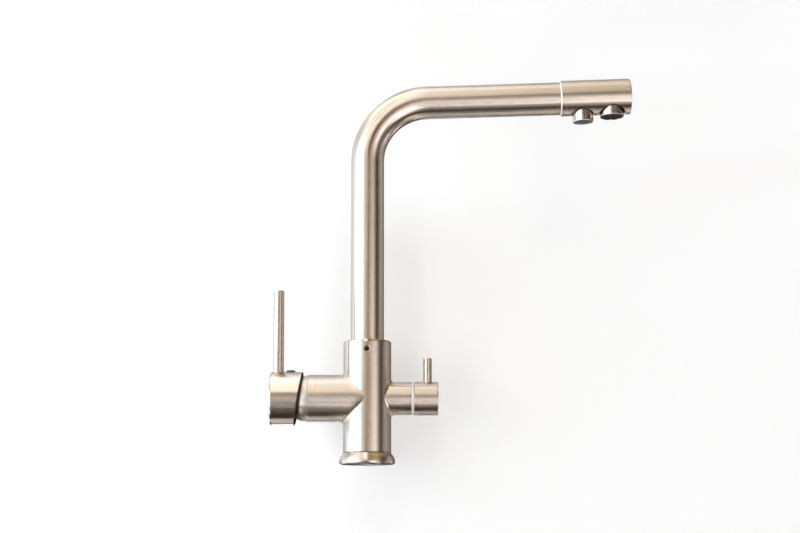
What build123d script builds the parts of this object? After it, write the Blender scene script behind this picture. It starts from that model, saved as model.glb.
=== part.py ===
from build123d import *
import os
import math

# Three way filtered water tap: mixer lever on the left branch, filter knob on
# the right branch, swivel spout with two separate outlets.  Millimetres.
# Frame: origin at the centre of the base underside, +Z up, +X towards the
# spout outlets.  The left branch points to -X, the grub screw side is -Y.

# ---------------------------------------------------------------- dimensions
# base and trunk
Z_METAL = 0.4            # metal underside, the rubber stands 0.4 proud of it
Z_RING_TOP = 10.45       # top of the base ring
R_BASE = 25.0            # widest radius of the base ring
R_SPIGOT = 19.5          # body spigot inside the base ring
R_TRUNK = 21.5
Z_TOP = 110.3            # top of the trunk
Z_AXIS = 58.6            # height of the two side branches
# left branch, distances from the trunk axis towards -X
R_LEFT = 21.35
U_LEFT = 53.3            # mouth of the branch
U_FLOOR = 20.0           # floor of the cartridge chamber
R_CART_BORE = 17.6
R_NUT_BORE = 19.0
U_PIVOT = 52.8           # tilt axis of the lever and centre of the dome
R_DOME = 20.9
R_OPENING = 14.6         # opening of the dome round the swing of the lever
BALL_U = 39.5            # ball end of the lever stem
DISC_SHIFT = 2.7         # disc carrier below the axis when the tap is shut
# handle cap
R_CAP = 24.0
R_CAP_BORE = 21.8
U_CAP_END = 86.9
U_CAP_FLOOR = 74.5
U_SLANT_TOP = 57.2
U_SLANT_BOTTOM = 64.9
U_ROD = 79.8
R_ROD = 4.95
Z_ROD_TOP = 156.2
U_PLUG = 68.6
# right branch
R_RIGHT = 14.8
X_RIGHT = 39.6
R_VALVE_BORE = 9.5
X_VALVE_FLOOR = 17.0
X_GAP_END = 41.6
R_KNOB = 15.1
X_KNOB = 41.9
X_KNOB_END = 63.4
X_PIN = 54.0
Z_PIN_TOP = 94.9
# spout
R_TUBE = 15.0
WALL = 1.2
R_SOCKET = 16.8          # bore in the top of the trunk
Z_SOCKET = 84.0          # its floor
Z_TUBE = 106.0           # lower end of the tube
Z_SCREW = 101.75         # grub screw height
R_BEND = 56.0            # centreline radius of the bend
RISE = 1.92              # degrees that the arm rises above horizontal
Z_ARM = 329.7            # arm centreline produced to the trunk axis
S_TUBE_END = 181.4       # along the arm from the trunk axis
# head
R_HEAD = 16.35
R_HEAD_BORE = 14.6
S_COLLAR = 177.2
S_HEAD = 181.5
S_HEAD_END = 242.0
S_FILTER = 197.8         # small outlet, filtered water
S_MIXED = 224.7          # large outlet, mixed water
R_FILTER = 9.5
R_MIXED = 11.2
R_FILTER_HOLE = 10.85
R_MIXED_HOLE = 13.25
Y_FILTER = -22.95        # rim of the small outlet, below the arm axis
Y_MIXED = -18.5          # rim of the large outlet
# inlets in the base
PORT = 7.8               # hot, cold, filtered and stud holes at (+-7.8, +-7.8)
Z_HOT_COLD = Z_AXIS + 5.6   # hot and cold ports of the cartridge chamber
Z_MIX_PORT = Z_AXIS - 4.4   # mixed water port of the cartridge chamber

# ------------------------------------------------------------ derived values
ca = math.cos(math.radians(RISE))
sa = math.sin(math.radians(RISE))
TURN = 90.0 - RISE
T_LEN = R_BEND * math.tan(math.radians(TURN / 2))
Z_BEND = Z_ARM - T_LEN

# planes and axes that the pieces are placed by
LEFT = Plane(origin=(0, 0, Z_AXIS), x_dir=(0, -1, 0), z_dir=(-1, 0, 0))
RIGHT = Plane(origin=(0, 0, Z_AXIS), x_dir=(0, 1, 0), z_dir=(1, 0, 0))
SIDE_AXIS = Axis((0, 0, Z_AXIS), (1, 0, 0))
ARM = Plane(origin=(0, 0, Z_ARM), x_dir=(ca, 0, sa), z_dir=(0, -1, 0))
ARM_AXIS = Axis((0, 0, Z_ARM), (ca, 0, sa))
ACROSS = Plane(origin=(0, 0, Z_ARM), x_dir=(0, 1, 0), z_dir=(ca, 0, sa))


def arm_point(s, y):
    return (ca * s - sa * y, 0, Z_ARM + sa * s + ca * y)


FILTER_AXIS = Axis(arm_point(S_FILTER, 0), (-sa, 0, ca))
MIXED_AXIS = Axis(arm_point(S_MIXED, 0), (-sa, 0, ca))


def down_plane(s, y):
    # plane across an outlet, local z pointing out of the outlet
    return Plane(origin=arm_point(s, y), x_dir=(ca, 0, sa), z_dir=(sa, 0, -ca))


os.makedirs("parts", exist_ok=True)

# ------------------------------------------------------------------ the body
with BuildPart() as main_body:
    with BuildSketch(Plane.XZ):
        with BuildLine():
            Polyline((0, Z_METAL), (R_SPIGOT, Z_METAL), (R_SPIGOT, Z_RING_TOP),
                     (R_TRUNK - 0.35, Z_RING_TOP), (R_TRUNK, Z_RING_TOP + 0.35), (R_TRUNK, Z_TOP), (0, Z_TOP), close=True)
        make_face()
    revolve(axis=Axis.Z)
    with BuildSketch(LEFT):
        Circle(R_LEFT)
    extrude(amount=U_LEFT)
    with BuildSketch(RIGHT):
        Circle(R_RIGHT)
    extrude(amount=X_RIGHT)
    # rounded joins between trunk and branches
    joins = main_body.edges().filter_by(lambda e: e.geom_type not in (GeomType.CIRCLE, GeomType.LINE))
    fillet(joins.filter_by(lambda e: e.center().X > 0), radius=2.6)
    fillet(joins.filter_by(lambda e: e.center().X < 0), radius=2.2)
    # rounded shoulder at the top, broken edges at the branch mouths
    fillet(main_body.edges().group_by(Axis.Z)[-1], radius=1.9)
    chamfer(main_body.edges().group_by(Axis.X)[0], length=0.35)
    chamfer(main_body.edges().group_by(Axis.X)[-1], length=0.3)
    # spout socket
    with BuildSketch(Plane.XY.offset(Z_TOP)):
        Circle(R_SOCKET)
    extrude(amount=-(Z_TOP - Z_SOCKET), mode=Mode.SUBTRACT)
    chamfer(main_body.edges().filter_by(GeomType.CIRCLE).group_by(Axis.Z)[-1].sort_by(SortBy.RADIUS)[0], length=0.4)
    # counterbore for the filtered water nozzle and its supply from the valve
    with BuildSketch(Plane.XY.offset(Z_SOCKET)):
        Circle(5.0)
    extrude(amount=-6, mode=Mode.SUBTRACT)
    with BuildSketch(Plane.XY.offset(Z_SOCKET)):
        Circle(2.3)
    extrude(amount=-(Z_SOCKET - (Z_AXIS + 4.2)), mode=Mode.SUBTRACT)
    # mixed water passage up to the socket
    with BuildSketch(Plane.XY.offset(Z_SOCKET)):
        with Locations((-11.8, 0)):
            Circle(4.0)
    extrude(amount=-(Z_SOCKET - Z_MIX_PORT), mode=Mode.SUBTRACT)
    # cartridge chamber and the threaded mouth for its nut
    with BuildSketch(LEFT.offset(U_FLOOR)):
        Circle(R_CART_BORE)
    extrude(amount=U_LEFT - U_FLOOR, mode=Mode.SUBTRACT)
    with BuildSketch(LEFT.offset(46.0)):
        Circle(R_NUT_BORE)
    extrude(amount=U_LEFT - 46.0, mode=Mode.SUBTRACT)
    # three ports from the chamber floor: hot, cold and mixed
    with BuildSketch(LEFT.offset(PORT)):
        with Locations((PORT, Z_HOT_COLD - Z_AXIS), (-PORT, Z_HOT_COLD - Z_AXIS)):
            Circle(3.2)
    extrude(amount=U_FLOOR - PORT, mode=Mode.SUBTRACT)
    with BuildSketch(LEFT.offset(11.8)):
        with Locations((0, Z_MIX_PORT - Z_AXIS)):
            Circle(3.6)
    extrude(amount=U_FLOOR - 11.8, mode=Mode.SUBTRACT)
    # rising passages over the hot and cold inlets
    with BuildSketch(Plane.XY.offset(Z_METAL)):
        with Locations((-PORT, -PORT), (-PORT, PORT)):
            Circle(3.2)
    extrude(amount=Z_HOT_COLD - Z_METAL, mode=Mode.SUBTRACT)
    # filtered water: inlet passage, cross passage, valve ports
    with BuildSketch(Plane.XY.offset(Z_METAL)):
        with Locations((PORT, -PORT)):
            Circle(2.8)
    extrude(amount=Z_AXIS - 4.2 - Z_METAL, mode=Mode.SUBTRACT)
    with BuildSketch(Plane.XZ.offset(PORT)):
        with Locations((PORT, Z_AXIS - 4.2)):
            Circle(2.3)
    extrude(amount=-PORT, mode=Mode.SUBTRACT)
    with BuildSketch(RIGHT.offset(PORT)):
        with Locations((0, -4.2)):
            Circle(2.0)
    extrude(amount=X_VALVE_FLOOR - PORT, mode=Mode.SUBTRACT)
    with BuildSketch(RIGHT):
        with Locations((0, 4.2)):
            Circle(2.0)
    extrude(amount=X_VALVE_FLOOR, mode=Mode.SUBTRACT)
    # filter valve chamber
    with BuildSketch(RIGHT.offset(X_VALVE_FLOOR)):
        Circle(R_VALVE_BORE)
    extrude(amount=X_RIGHT - X_VALVE_FLOOR, mode=Mode.SUBTRACT)
    # threaded inlets for the three hoses and the threaded hole for the stud
    with Locations((-PORT, -PORT, Z_METAL), (-PORT, PORT, Z_METAL), (PORT, -PORT, Z_METAL)):
        with Locations(Rotation(180, 0, 0)):
            Hole(radius=4.5, depth=12)
    with Locations((PORT, PORT, Z_METAL)):
        with Locations(Rotation(180, 0, 0)):
            Hole(radius=3.4, depth=16)
    # threaded hole for the spout grub screw, with a broken edge
    with BuildSketch(Plane.XZ.offset(R_TRUNK + 1)):
        with Locations((0, Z_SCREW)):
            Circle(2.15)
    extrude(amount=-(R_TRUNK + 1 - 14.0), mode=Mode.SUBTRACT)
    with BuildSketch(Plane.XZ.offset(R_TRUNK + 0.05)):
        with Locations((0, Z_SCREW)):
            Circle(3.5)
    extrude(amount=-1.35, taper=45, mode=Mode.SUBTRACT)
main_body.part.label = "main_body"
export_step(main_body.part, "parts/main_body.step")

with BuildPart() as base_ring:
    # flared ring: a hollow curve runs into a rounded rim
    with BuildSketch(Plane.XZ):
        with BuildLine():
            l1 = Polyline((20.0, Z_RING_TOP), (R_TRUNK - 0.35, Z_RING_TOP), (R_TRUNK + 0.1, Z_RING_TOP - 0.4))
            l2 = ThreePointArc((R_TRUNK + 0.1, Z_RING_TOP - 0.4), (22.15, 8.85), (23.1, 7.95))
            l3 = ThreePointArc((23.1, 7.95), (24.35, 5.55), (R_BASE, 2.5))
            l4 = ThreePointArc((R_BASE, 2.5), (24.75, 1.15), (24.1, Z_METAL))
            l5 = Polyline((24.1, Z_METAL), (23.4, Z_METAL), (23.4, 1.9), (20.6, 1.9),
                          (20.6, Z_METAL), (R_SPIGOT + 0.1, Z_METAL), (R_SPIGOT + 0.1, Z_RING_TOP - 0.1),
                          (20.0, Z_RING_TOP))
        make_face()
    revolve(axis=Axis.Z)
base_ring.part.label = "base_ring"
export_step(base_ring.part, "parts/base_ring.step")

with BuildPart() as base_gasket:
    with BuildSketch():
        Circle(23.3)
        Circle(20.7, mode=Mode.SUBTRACT)
    extrude(amount=1.85)
    fillet(base_gasket.edges().group_by(Axis.Z)[0], radius=0.35)
base_gasket.part.label = "base_gasket"
export_step(base_gasket.part, "parts/base_gasket.step")

# ------------------------------------------------------ spout joint, in the body
with BuildPart() as spout_bearing_ring:
    with BuildSketch(Plane.XY.offset(106.3)):
        Circle(R_SOCKET - 0.03)
        Circle(R_TUBE + 0.1, mode=Mode.SUBTRACT)
    extrude(amount=3.3)
    chamfer(spout_bearing_ring.edges().group_by(Axis.Z)[-1], length=0.25)
spout_bearing_ring.part.label = "spout_bearing_ring"
export_step(spout_bearing_ring.part, "parts/spout_bearing_ring.step")

with BuildPart() as spout_grub_screw:
    with BuildSketch(Plane.XZ.offset(17.0)):
        with Locations((0, Z_SCREW)):
            Circle(2.1)
    extrude(amount=2.4)
    chamfer(spout_grub_screw.edges().group_by(Axis.Y)[0], length=0.25)
    with BuildSketch(Plane.XZ.offset(17.0)):
        with Locations((0, Z_SCREW)):
            Circle(1.5)
    extrude(amount=-1.7)
    with BuildSketch(Plane.XZ.offset(19.4)):
        with Locations((0, Z_SCREW)):
            RegularPolygon(radius=1.3, side_count=6)
    extrude(amount=-1.8, mode=Mode.SUBTRACT)
spout_grub_screw.part.label = "spout_grub_screw"
export_step(spout_grub_screw.part, "parts/spout_grub_screw.step")

# nozzle that hands the filtered water to the inner tube of the turning spout
with BuildPart() as filter_nozzle:
    with BuildSketch(Plane.XZ):
        with BuildLine():
            Polyline((2.3, 78.2), (4.95, 78.2), (4.95, 84.05), (7.0, 84.05), (7.0, 96.0), (4.1, 96.0),
                     (4.1, 92.4), (5.6, 92.4), (5.6, 90.6), (4.1, 90.6), (4.1, 87.0), (2.3, 87.0), close=True)
        make_face()
    revolve(axis=Axis.Z)
    chamfer(filter_nozzle.edges().group_by(Axis.Z)[-1].sort_by(SortBy.RADIUS)[-1], length=0.6)
filter_nozzle.part.label = "filter_nozzle"
export_step(filter_nozzle.part, "parts/filter_nozzle.step")

with BuildPart() as filter_nozzle_seal:
    with BuildSketch(Plane.XZ):
        with Locations((4.81, 91.5)):
            Circle(0.74)
    revolve(axis=Axis.Z)
filter_nozzle_seal.part.label = "filter_nozzle_seal"
export_step(filter_nozzle_seal.part, "parts/filter_nozzle_seal.step")

# ---------------------------------------------------------- mixer cartridge
PORTS_CART = ((PORT, Z_HOT_COLD - Z_AXIS), (-PORT, Z_HOT_COLD - Z_AXIS), (0, Z_MIX_PORT - Z_AXIS))

with BuildPart() as cartridge_base:
    with BuildSketch(LEFT.offset(20.7)):
        Circle(17.4)
    extrude(amount=3.8)
    with BuildSketch(LEFT.offset(24.5)):
        Circle(15.4)
    extrude(amount=3.5)
    # grooves for the three port seals
    for px, py in PORTS_CART:
        with BuildSketch(LEFT.offset(20.7)):
            with Locations((px, py)):
                Circle(5.15)
        extrude(amount=0.9, mode=Mode.SUBTRACT)
    for px, py in PORTS_CART:
        with BuildSketch(LEFT.offset(20.7)):
            with Locations((px, py)):
                Circle(2.9)
        extrude(amount=4.8, mode=Mode.SUBTRACT)
    # narrower upper ports that meet the ceramic disc
    with BuildSketch(LEFT.offset(28.0)):
        with Locations((5, 4), (-5, 4)):
            Circle(2.0)
        with Locations((0, Z_MIX_PORT - Z_AXIS)):
            Circle(2.8)
    extrude(amount=-3.5, mode=Mode.SUBTRACT)
cartridge_base.part.label = "cartridge_base"
export_step(cartridge_base.part, "parts/cartridge_base.step")

with BuildPart() as cartridge_port_seals:
    with BuildSketch(LEFT.offset(20.05)):
        with Locations(*PORTS_CART):
            Circle(5.05)
            Circle(3.5, mode=Mode.SUBTRACT)
    extrude(amount=1.5)
    fillet(cartridge_port_seals.edges().filter_by(GeomType.CIRCLE), radius=0.5)
cartridge_port_seals.part.label = "cartridge_port_seals"
export_step(cartridge_port_seals.part, "parts/cartridge_port_seals.step")

with BuildPart() as fixed_ceramic_disc:
    with BuildSketch(LEFT.offset(28.05)):
        Circle(15.2)
    extrude(amount=3.45)
    with BuildSketch(LEFT.offset(28.05)):
        with Locations((0, 15.4), (0, -15.4)):
            Circle(1.6)
    extrude(amount=3.45, mode=Mode.SUBTRACT)
    with BuildSketch(LEFT.offset(28.05)):
        with Locations((5, 4), (-5, 4)):
            Circle(2.0)
        with Locations((0, Z_MIX_PORT - Z_AXIS)):
            Circle(2.8)
    extrude(amount=3.45, mode=Mode.SUBTRACT)
fixed_ceramic_disc.part.label = "fixed_ceramic_disc"
export_step(fixed_ceramic_disc.part, "parts/fixed_ceramic_disc.step")

with BuildPart() as moving_ceramic_disc:
    with BuildSketch(LEFT.offset(31.55)):
        with Locations((0, -DISC_SHIFT)):
            Circle(12.0)
    extrude(amount=3.4)
    # mixing chamber, open towards the fixed disc
    with BuildSketch(LEFT.offset(31.55)):
        with Locations((0, -1.45 - DISC_SHIFT)):
            RectangleRounded(14.4, 12.1, 2.5)
    extrude(amount=2.0, mode=Mode.SUBTRACT)
    with BuildSketch(LEFT.offset(34.95)):
        with Locations((6.6, -7.0 - DISC_SHIFT), (-6.6, -7.0 - DISC_SHIFT)):
            Circle(1.05)
    extrude(amount=-1.2, mode=Mode.SUBTRACT)
moving_ceramic_disc.part.label = "moving_ceramic_disc"
export_step(moving_ceramic_disc.part, "parts/moving_ceramic_disc.step")

with BuildPart() as disc_carrier:
    with BuildSketch(LEFT.offset(35.0)):
        with Locations((0, -DISC_SHIFT)):
            Circle(11.8)
        with Locations((0, -DISC_SHIFT)):
            Rectangle(17.4, 30, mode=Mode.INTERSECT)
    extrude(amount=6.8)
    # socket for the ball end of the lever stem, flared for its swing
    with BuildSketch(LEFT.offset(41.8)):
        Circle(3.3)
    extrude(amount=-5.7, mode=Mode.SUBTRACT)
    chamfer(disc_carrier.edges().filter_by(GeomType.CIRCLE).group_by(Axis.X)[0].sort_by(SortBy.RADIUS)[0], length=1.7)
    # two pegs that carry the moving disc
    with BuildSketch(LEFT.offset(35.0)):
        with Locations((6.6, -7.0 - DISC_SHIFT), (-6.6, -7.0 - DISC_SHIFT)):
            Circle(0.98)
    extrude(amount=-1.0)
disc_carrier.part.label = "disc_carrier"
export_step(disc_carrier.part, "parts/disc_carrier.step")

# cup that holds the cartridge together
with BuildPart() as cartridge_housing:
    with BuildSketch(Plane.XZ):
        with BuildLine():
            Polyline((-24.6, Z_AXIS + 15.5), (-24.6, Z_AXIS + 17.4), (-47.0, Z_AXIS + 17.4),
                     (-47.0, Z_AXIS + 13.0), (-57.0, Z_AXIS + 13.0), (-57.0, Z_AXIS + 11.0),
                     (-45.35, Z_AXIS + 11.0), (-45.35, Z_AXIS + 15.5), close=True)
        make_face()
    revolve(axis=SIDE_AXIS)
    chamfer(cartridge_housing.edges().group_by(Axis.X)[0], length=0.4)
    # windows for the lugs of the base
    with BuildSketch(Plane.XY.offset(Z_AXIS)):
        with Locations((-27.2, 0)):
            Rectangle(3.0, 5.0)
    extrude(amount=20, both=True, mode=Mode.SUBTRACT)
cartridge_housing.part.label = "cartridge_housing"
export_step(cartridge_housing.part, "parts/cartridge_housing.step")

with BuildPart() as cartridge_nut:
    with BuildSketch(Plane.XZ):
        with BuildLine():
            Polyline((-47.05, Z_AXIS + 13.3), (-47.05, Z_AXIS + 18.9), (-51.3, Z_AXIS + 18.9),
                     (-51.3, Z_AXIS + 15.6), (-53.4, Z_AXIS + 15.6), (-53.4, Z_AXIS + 13.3), close=True)
        make_face()
    revolve(axis=SIDE_AXIS)
    # castle slots for the nut driver
    with BuildSketch(LEFT.offset(51.8)):
        with PolarLocations(14.5, 6):
            Rectangle(4.0, 3.0)
    extrude(amount=2.0, mode=Mode.SUBTRACT)
cartridge_nut.part.label = "cartridge_nut"
export_step(cartridge_nut.part, "parts/cartridge_nut.step")

# spherical cover over the cartridge, open at its pole for the lever stem
with BuildPart() as dome_cover:
    with BuildSketch(Plane.XZ):
        with BuildLine():
            Line((-51.4, Z_AXIS + 17.2), (-51.4, Z_AXIS + 18.9))
            Line((-51.4, Z_AXIS + 18.9), (-U_LEFT, Z_AXIS + 18.9))
            Line((-U_LEFT, Z_AXIS + 18.9), (-U_LEFT, Z_AXIS + 20.9))
            a_out = math.asin(R_OPENING / R_DOME)
            ThreePointArc((-U_LEFT, Z_AXIS + 20.9),
                          (-U_PIVOT - R_DOME * math.sin(0.5), Z_AXIS + R_DOME * math.cos(0.5)),
                          (-U_PIVOT - R_DOME * math.cos(a_out), Z_AXIS + R_OPENING))
            Line((-U_PIVOT - R_DOME * math.cos(a_out), Z_AXIS + R_OPENING),
                 (-U_PIVOT - 19.3 * math.cos(math.asin(R_OPENING / 19.3)), Z_AXIS + R_OPENING))
            ThreePointArc((-U_PIVOT - 19.3 * math.cos(math.asin(R_OPENING / 19.3)), Z_AXIS + R_OPENING),
                          (-U_PIVOT - 19.3 * math.sin(0.5), Z_AXIS + 19.3 * math.cos(0.5)),
                          (-U_PIVOT - math.sqrt(19.3 ** 2 - 17.2 ** 2), Z_AXIS + 17.2))
            Line((-U_PIVOT - math.sqrt(19.3 ** 2 - 17.2 ** 2), Z_AXIS + 17.2), (-51.4, Z_AXIS + 17.2))
        make_face()
    revolve(axis=SIDE_AXIS)
dome_cover.part.label = "dome_cover"
export_step(dome_cover.part, "parts/dome_cover.step")

# turning guide of the lever stem
with BuildPart() as stem_guide:
    with BuildSketch(LEFT.offset(42.2)):
        Circle(15.42)
    extrude(amount=3.0)
    with BuildSketch(LEFT.offset(45.2)):
        Circle(10.9)
    extrude(amount=12.8)
    # rails beside the disc carrier
    with BuildSketch(LEFT.offset(42.2)):
        with Locations((9.75, 0), (-9.75, 0)):
            Rectangle(1.5, 12)
    extrude(amount=-3.7)
    # slot for the swing of the stem
    with BuildSketch(LEFT.offset(38.0)):
        SlotOverall(16.6, 8.5, rotation=90)
    extrude(amount=21, mode=Mode.SUBTRACT)
    # hole for the pivot pin
    with BuildSketch(Plane.XZ.offset(12)):
        with Locations((-U_PIVOT, Z_AXIS)):
            Circle(1.5)
    extrude(amount=-24, mode=Mode.SUBTRACT)
stem_guide.part.label = "stem_guide"
export_step(stem_guide.part, "parts/stem_guide.step")

with BuildPart() as stem_pivot_pin:
    with BuildSketch(Plane.XZ.offset(10.2)):
        with Locations((-U_PIVOT, Z_AXIS)):
            Circle(1.48)
    extrude(amount=-20.4)
    chamfer(stem_pivot_pin.edges(), length=0.2)
stem_pivot_pin.part.label = "stem_pivot_pin"
export_step(stem_pivot_pin.part, "parts/stem_pivot_pin.step")

# ------------------------------------------------------------- mixer handle
with BuildPart() as lever_stem:
    with Locations((-BALL_U, 0, Z_AXIS)):
        Sphere(3.0)
    with BuildSketch(LEFT.offset(BALL_U)):
        Circle(2.14)
    extrude(amount=9.05)
    with BuildSketch(LEFT.offset(BALL_U + 9.0)):
        Circle(4.0)
    extrude(amount=15.5)
    with BuildSketch(LEFT.offset(BALL_U + 24.4)):
        RectangleRounded(6.6, 6.6, 0.8)
    extrude(amount=20.6)
    chamfer(lever_stem.edges().group_by(Axis.X)[0], length=0.5)
    with BuildSketch(Plane.XZ.offset(12)):
        with Locations((-U_PIVOT, Z_AXIS)):
            Circle(1.54)
    extrude(amount=-24, mode=Mode.SUBTRACT)
lever_stem.part.label = "lever_stem"
export_step(lever_stem.part, "parts/lever_stem.step")

with BuildPart() as handle_cap:
    with BuildSketch(LEFT.offset(50)):
        Circle(R_CAP)
    extrude(amount=U_CAP_END - 50)
    # slanted rim
    with BuildSketch(Plane.XZ):
        with BuildLine():
            slope = (U_SLANT_BOTTOM - U_SLANT_TOP) / (2 * R_CAP)
            Polyline((-U_SLANT_TOP + 6 * slope, Z_AXIS + R_CAP + 6), (-U_SLANT_BOTTOM - 6 * slope, Z_AXIS - R_CAP - 6),
                     (-45, Z_AXIS - R_CAP - 6), (-45, Z_AXIS + R_CAP + 6), close=True)
        make_face()
    extrude(amount=30, both=True, mode=Mode.SUBTRACT)
    # broken edge round the slanted rim
    chamfer(handle_cap.edges().group_by(Axis.X)[-1], length=0.7)
    fillet(handle_cap.edges().group_by(Axis.X)[0], radius=1.8)
    # hollow that passes over the dome, and the hub for the stem
    with BuildSketch(LEFT.offset(50)):
        Circle(R_CAP_BORE)
    extrude(amount=U_CAP_FLOOR - 50, mode=Mode.SUBTRACT)
    with BuildSketch(LEFT.offset(64.2)):
        Circle(6.9)
    extrude(amount=U_CAP_FLOOR - 64.2 + 0.5)
    with BuildSketch(LEFT.offset(63)):
        RectangleRounded(6.8, 6.8, 0.8)
    extrude(amount=22.0, mode=Mode.SUBTRACT)
    # threaded hole for the lever rod
    with BuildSketch(Plane.XY.offset(Z_AXIS + 10)):
        with Locations((-U_ROD, 0)):
            Circle(3.0)
    extrude(amount=20, mode=Mode.SUBTRACT)
    # flat seat for the foot of the rod
    with BuildSketch(Plane.XY.offset(Z_AXIS + R_CAP - 0.7)):
        with Locations((-U_ROD, 0)):
            Circle(R_ROD + 0.07)
    extrude(amount=2, mode=Mode.SUBTRACT)
    # grub screw hole in the hub, its access hole and the seat of the plug
    with BuildSketch(Plane.XY.offset(Z_AXIS + 3)):
        with Locations((-U_PLUG, 0)):
            Circle(2.1)
    extrude(amount=10, mode=Mode.SUBTRACT)
    with BuildSketch(Plane.XY.offset(Z_AXIS + 15)):
        with Locations((-U_PLUG, 0)):
            Circle(3.1)
    extrude(amount=10, mode=Mode.SUBTRACT)
    with BuildSketch(Plane.XY.offset(Z_AXIS + R_CAP - 0.7)):
        with Locations((-U_PLUG, 0)):
            Circle(4.13)
    extrude(amount=3, mode=Mode.SUBTRACT)
handle_cap.part.label = "handle_cap"
export_step(handle_cap.part, "parts/handle_cap.step")

with BuildPart() as handle_grub_screw:
    with BuildSketch(Plane.XY.offset(Z_AXIS + 3.45)):
        with Locations((-U_PLUG, 0)):
            Circle(2.05)
    extrude(amount=4.6)
    with BuildSketch(Plane.XY.offset(Z_AXIS + 8.05)):
        with Locations((-U_PLUG, 0)):
            RegularPolygon(radius=1.15, side_count=6)
    extrude(amount=-1.8, mode=Mode.SUBTRACT)
handle_grub_screw.part.label = "handle_grub_screw"
export_step(handle_grub_screw.part, "parts/handle_grub_screw.step")

with BuildPart() as index_plug:
    with BuildSketch(Plane.XY.offset(Z_AXIS + R_CAP - 2.9)):
        with Locations((-U_PLUG, 0)):
            Circle(3.02)
    extrude(amount=2.3)
    with BuildSketch(Plane.XY.offset(Z_AXIS + R_CAP - 0.68)):
        with Locations((-U_PLUG, 0)):
            Circle(4.05)
    extrude(amount=2.15)
    fillet(index_plug.edges().group_by(Axis.Z)[-1], radius=0.7)
index_plug.part.label = "index_plug"
export_step(index_plug.part, "parts/index_plug.step")

with BuildPart() as lever_rod:
    # rod, very slightly tapered, over a threaded stub; its foot stands in the flat seat of the cap
    with BuildSketch(Plane.XZ):
        with BuildLine():
            Polyline((-U_ROD, Z_AXIS + 12.5), (-U_ROD + 2.95, Z_AXIS + 12.5), (-U_ROD + 2.95, Z_AXIS + R_CAP - 0.65),
                     (-U_ROD + R_ROD, Z_AXIS + R_CAP - 0.65), (-U_ROD + R_ROD - 0.25, Z_ROD_TOP), (-U_ROD, Z_ROD_TOP),
                     close=True)
        make_face()
    revolve(axis=Axis((-U_ROD, 0, 0), (0, 0, 1)))
    fillet(lever_rod.edges().group_by(Axis.Z)[-1], radius=0.6)
lever_rod.part.label = "lever_rod"
export_step(lever_rod.part, "parts/lever_rod.step")

# ------------------------------------------------------------- filter valve
with BuildPart() as filter_valve_body:
    with BuildSketch(Plane.XZ):
        with BuildLine():
            Polyline((18.55, Z_AXIS + 7.0), (18.55, Z_AXIS + 9.45), (30.0, Z_AXIS + 9.45), (30.0, Z_AXIS + 8.0),
                     (31.8, Z_AXIS + 8.0), (31.8, Z_AXIS + 9.45), (39.2, Z_AXIS + 9.45), (39.2, Z_AXIS + 8.4),
                     (40.4, Z_AXIS + 8.4), (40.4, Z_AXIS + 4.07), (26.0, Z_AXIS + 4.07), (26.0, Z_AXIS + 7.0), close=True)
        make_face()
    revolve(axis=SIDE_AXIS)
    # two flats for the spanner
    with BuildSketch(RIGHT.offset(39.2)):
        with Locations((0, 10), (0, -10)):
            Rectangle(20, 5.4)
    extrude(amount=2.0, mode=Mode.SUBTRACT)
filter_valve_body.part.label = "filter_valve_body"
export_step(filter_valve_body.part, "parts/filter_valve_body.step")

with BuildPart() as filter_valve_seal:
    with BuildSketch(Plane.XZ):
        with Locations((30.9, Z_AXIS + 8.75)):
            Circle(0.72)
    revolve(axis=SIDE_AXIS)
filter_valve_seal.part.label = "filter_valve_seal"
export_step(filter_valve_seal.part, "parts/filter_valve_seal.step")

with BuildPart() as filter_disc_gasket:
    with BuildSketch(RIGHT.offset(X_VALVE_FLOOR + 0.02)):
        Circle(9.2)
        with Locations((0, 4.2), (0, -4.2)):
            Circle(2.1, mode=Mode.SUBTRACT)
    extrude(amount=1.48)
filter_disc_gasket.part.label = "filter_disc_gasket"
export_step(filter_disc_gasket.part, "parts/filter_disc_gasket.step")

with BuildPart() as filter_fixed_disc:
    with BuildSketch(RIGHT.offset(18.55)):
        Circle(6.9)
        with Locations((0, 4.2), (0, -4.2)):
            Circle(1.9, mode=Mode.SUBTRACT)
    extrude(amount=2.4)
filter_fixed_disc.part.label = "filter_fixed_disc"
export_step(filter_fixed_disc.part, "parts/filter_fixed_disc.step")

with BuildPart() as filter_moving_disc:
    with BuildSketch(RIGHT.offset(21.0)):
        Circle(6.8)
    extrude(amount=2.4)
    # passage that joins both ports when it stands upright
    with BuildSketch(RIGHT.offset(21.0)):
        SlotOverall(12.0, 3.8)
    extrude(amount=1.4, mode=Mode.SUBTRACT)
    # groove for the tang of the spindle
    with BuildSketch(RIGHT.offset(23.4)):
        Rectangle(20, 2.1)
    extrude(amount=-0.8, mode=Mode.SUBTRACT)
filter_moving_disc.part.label = "filter_moving_disc"
export_step(filter_moving_disc.part, "parts/filter_moving_disc.step")

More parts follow.
